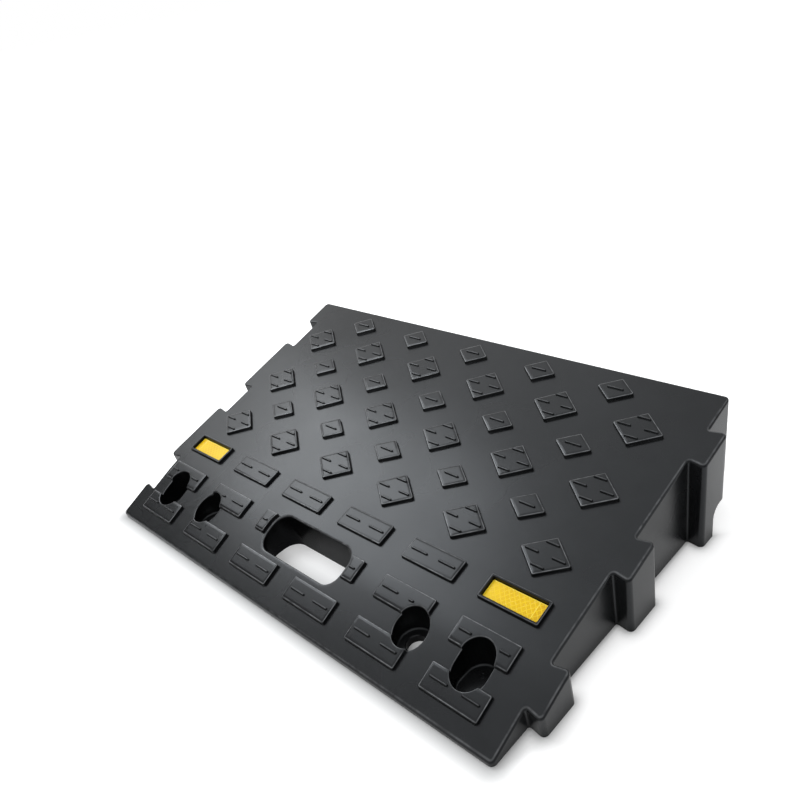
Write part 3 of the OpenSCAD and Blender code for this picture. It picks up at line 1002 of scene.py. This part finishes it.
def floor_material():
    """Matte white studio floor with a painted shadow round the ramp, which also takes the real shadow
    and looks white where it is clear.
    """
    material, tree, shader = new_material("studio_floor")
    tree.nodes.remove(shader)
    glossy = add_node(tree, "ShaderNodeLightPath").outputs["Is Glossy Ray"]
    # Painted shadow from the floor's marks, seen straight and in gloss.
    direct = math_node(tree, "SUBTRACT", 1.0, glossy)
    direct = math_node(tree, "MULTIPLY", direct, point_marks(tree, FLOOR_CLEAR))
    mirrored = math_node(tree, "MULTIPLY", glossy, point_marks(tree, FLOOR_OPEN))
    clear = math_node(tree, "ADD", direct, mirrored)
    matte = add_node(tree, "ShaderNodeBsdfDiffuse")
    tree.links.new(mix_colors(tree, clear, FLOOR_PAINTED_SHADOW, FLOOR_COLOR), matte.inputs["Color"])
    glow = add_node(tree, "ShaderNodeEmission")
    fill = spread_between(tree, clear, 0.0, FLOOR_FILL, FULL_SPAN)
    fill = math_node(tree, "MULTIPLY", seen_directly(tree), fill)
    tree.links.new(fill, glow.inputs["Strength"])
    both = add_node(tree, "ShaderNodeAddShader")
    tree.links.new(matte.outputs["BSDF"], both.inputs[0])
    tree.links.new(glow.outputs["Emission"], both.inputs[1])
    tree.links.new(both.outputs["Shader"], tree.nodes["Material Output"].inputs["Surface"])
    return material


def floor_lines(low, high):
    """Lines of the floor's grid in millimetres: close near the ramp, and one far off each way."""
    reach = FLOOR_REACH / MM
    margin = FLOOR_CLEAR_AT[-1] + FLOOR_STEP
    near = np.arange(low - margin, high + margin, FLOOR_STEP)
    return np.concatenate(([-reach], near, [reach]))


def floor_marks(x, y):
    """How clear of the painted shadow round the ramp each point of the floor is, seen straight and
    seen in gloss.
    """
    distance = np.maximum(OUTLINE.distance(x, y), y - DRAIN_Y)
    low = np.interp(distance, FLOOR_CLEAR_AT, FLOOR_CLEAR_LOW)
    tall = np.interp(distance, FLOOR_CLEAR_AT, FLOOR_CLEAR_TALL)
    wall_h = deck_height(np.clip(y, FRONT_Y, BACK_Y))
    clear = low + (tall - low) * np.interp(wall_h, (LIP_H, BEND_H), (0.0, 1.0))
    mirrored = np.interp(distance, FLOOR_OPEN_AT, FLOOR_OPEN_SHARE, left=0.0)
    return clear, mirrored


def add_floor():
    """A large plain floor at the ground, marked with how clear of the painted shadow round the ramp
    each point is.
    """
    xs = floor_lines(BODY_LOW.x, BODY_HIGH.x)
    ys = floor_lines(BODY_LOW.y, BODY_HIGH.y)
    x, y = (grid.ravel() for grid in np.meshgrid(xs, ys))
    row = len(xs)
    starts = [i for i in range(len(x) - row) if i % row < row - 1]
    mesh = bpy.data.meshes.new("studio_floor")
    places = [(px * MM, py * MM, 0.0) for px, py in zip(x, y)]
    mesh.from_pydata(places, [], [(i, i + 1, i + row + 1, i + row) for i in starts])
    clear, mirrored = floor_marks(x, y)
    set_marks(mesh, FLOOR_CLEAR, clear)
    set_marks(mesh, FLOOR_OPEN, mirrored)
    mesh.materials.append(floor_material())
    floor = add_object("studio_floor", mesh)


def add_world():
    """Even light from all round, seen as white."""
    world = bpy.data.worlds.new("studio")
    bpy.context.scene.world = world
    world.use_nodes = True
    tree = world.node_tree
    strength = spread_between(tree, seen_directly(tree), WORLD_LIGHT, 1.0, FULL_SPAN)
    tree.links.new(strength, tree.nodes["Background"].inputs["Strength"])
    tree.nodes["Background"].inputs["Color"].default_value = (1.0, 1.0, 1.0, 1.0)


def add_softbox(name, direction, size, radiance):
    """A soft light that faces the ramp, of a given size and brightness."""
    data = bpy.data.lights.new(name, "AREA")
    data.shape = "RECTANGLE"
    data.color = LAMP_COLOR
    data.size, data.size_y = size
    data.energy = radiance * math.pi * data.size * data.size_y
    light = add_object(name, data)
    light.visible_camera = False
    towards = Vector(direction).normalized()
    light.location = towards * LAMP_DISTANCE
    light.rotation_euler = towards.to_track_quat("Z", "Y").to_euler()


def add_flag():
    """A dark cloth card, which the low front strip mirrors instead of the bright room."""
    material, tree, shader = new_material("dark_cloth")
    weave = spread_between(tree, noise(tree, *FLAG_WEAVE), 0.0, 1.0)
    tree.links.new(mix_colors(tree, weave, *FLAG_COLORS), shader.inputs["Base Color"])
    shader.inputs["Specular IOR Level"].default_value = 0.0
    mesh = bpy.data.meshes.new("dark_card")
    (x0, y0), (x1, y1) = FLAG_FOOT
    places = [(x0, y0, 0.0), (x1, y1, 0.0), (x1, y1, FLAG_H), (x0, y0, FLAG_H)]
    mesh.from_pydata(places, [], [(0, 1, 2, 3)])
    mesh.materials.append(material)
    card = add_object("dark_card", mesh)
    card.visible_camera = False


def dress(piece, node, material):
    """Puts a piece in the place of a CAD node."""
    piece.data.materials.append(material)
    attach(piece, "root")
    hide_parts(node)


def add_ramp():
    """The moulding, the two sheets and the tape under them."""
    relief = Relief(body_plan(), BODY_LAYERS, body_tops, body_bottoms)
    body = relief.to_object("ramp_body_moulding", BODY_LIGHT_AND_WEAR)
    dress(body, "ramp_body", plastic_material())
    yellow = sheet_material()
    tape = adhesive_material()
    for side, word in ((1, "right"), (-1, "left")):
        sheet = sheet_relief(side).to_object("reflective_sheet_" + word, {"face": sheet_marks})
        dress(sheet, "reflector_" + word, yellow)
        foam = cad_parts["reflector_adhesive_" + word]
        foam.data.materials.clear()
        foam.data.materials.append(tape)


def add_camera():
    """The camera, from its place, viewing direction and roll."""
    flat = math.cos(CAMERA_ELEVATION)
    across = Vector((-math.sin(CAMERA_AZIMUTH), math.cos(CAMERA_AZIMUTH), 0.0))
    forward = across * flat - Vector((0.0, 0.0, math.sin(CAMERA_ELEVATION)))
    level = forward.cross(Vector((0.0, 0.0, 1.0))).normalized()
    upright = level.cross(forward)
    right = level * math.cos(CAMERA_ROLL) + upright * math.sin(CAMERA_ROLL)
    up = upright * math.cos(CAMERA_ROLL) - level * math.sin(CAMERA_ROLL)
    turn = Matrix((right, up, -forward)).transposed().to_4x4()
    data = bpy.data.cameras.new("photo_camera")
    data.lens = CAMERA_LENS
    data.shift_x, data.shift_y = CAMERA_SHIFT
    data.clip_start = CAMERA_NEAR
    camera = add_object("photo_camera", data)
    camera.matrix_world = Matrix.Translation(CAMERA_AT) @ turn
    bpy.context.scene.camera = camera


add_ramp()
add_floor()
add_world()
for softbox, values in SOFTBOXES.items():
    add_softbox(softbox, *values)
add_flag()
add_camera()
bpy.context.scene.view_settings.view_transform = "Standard"
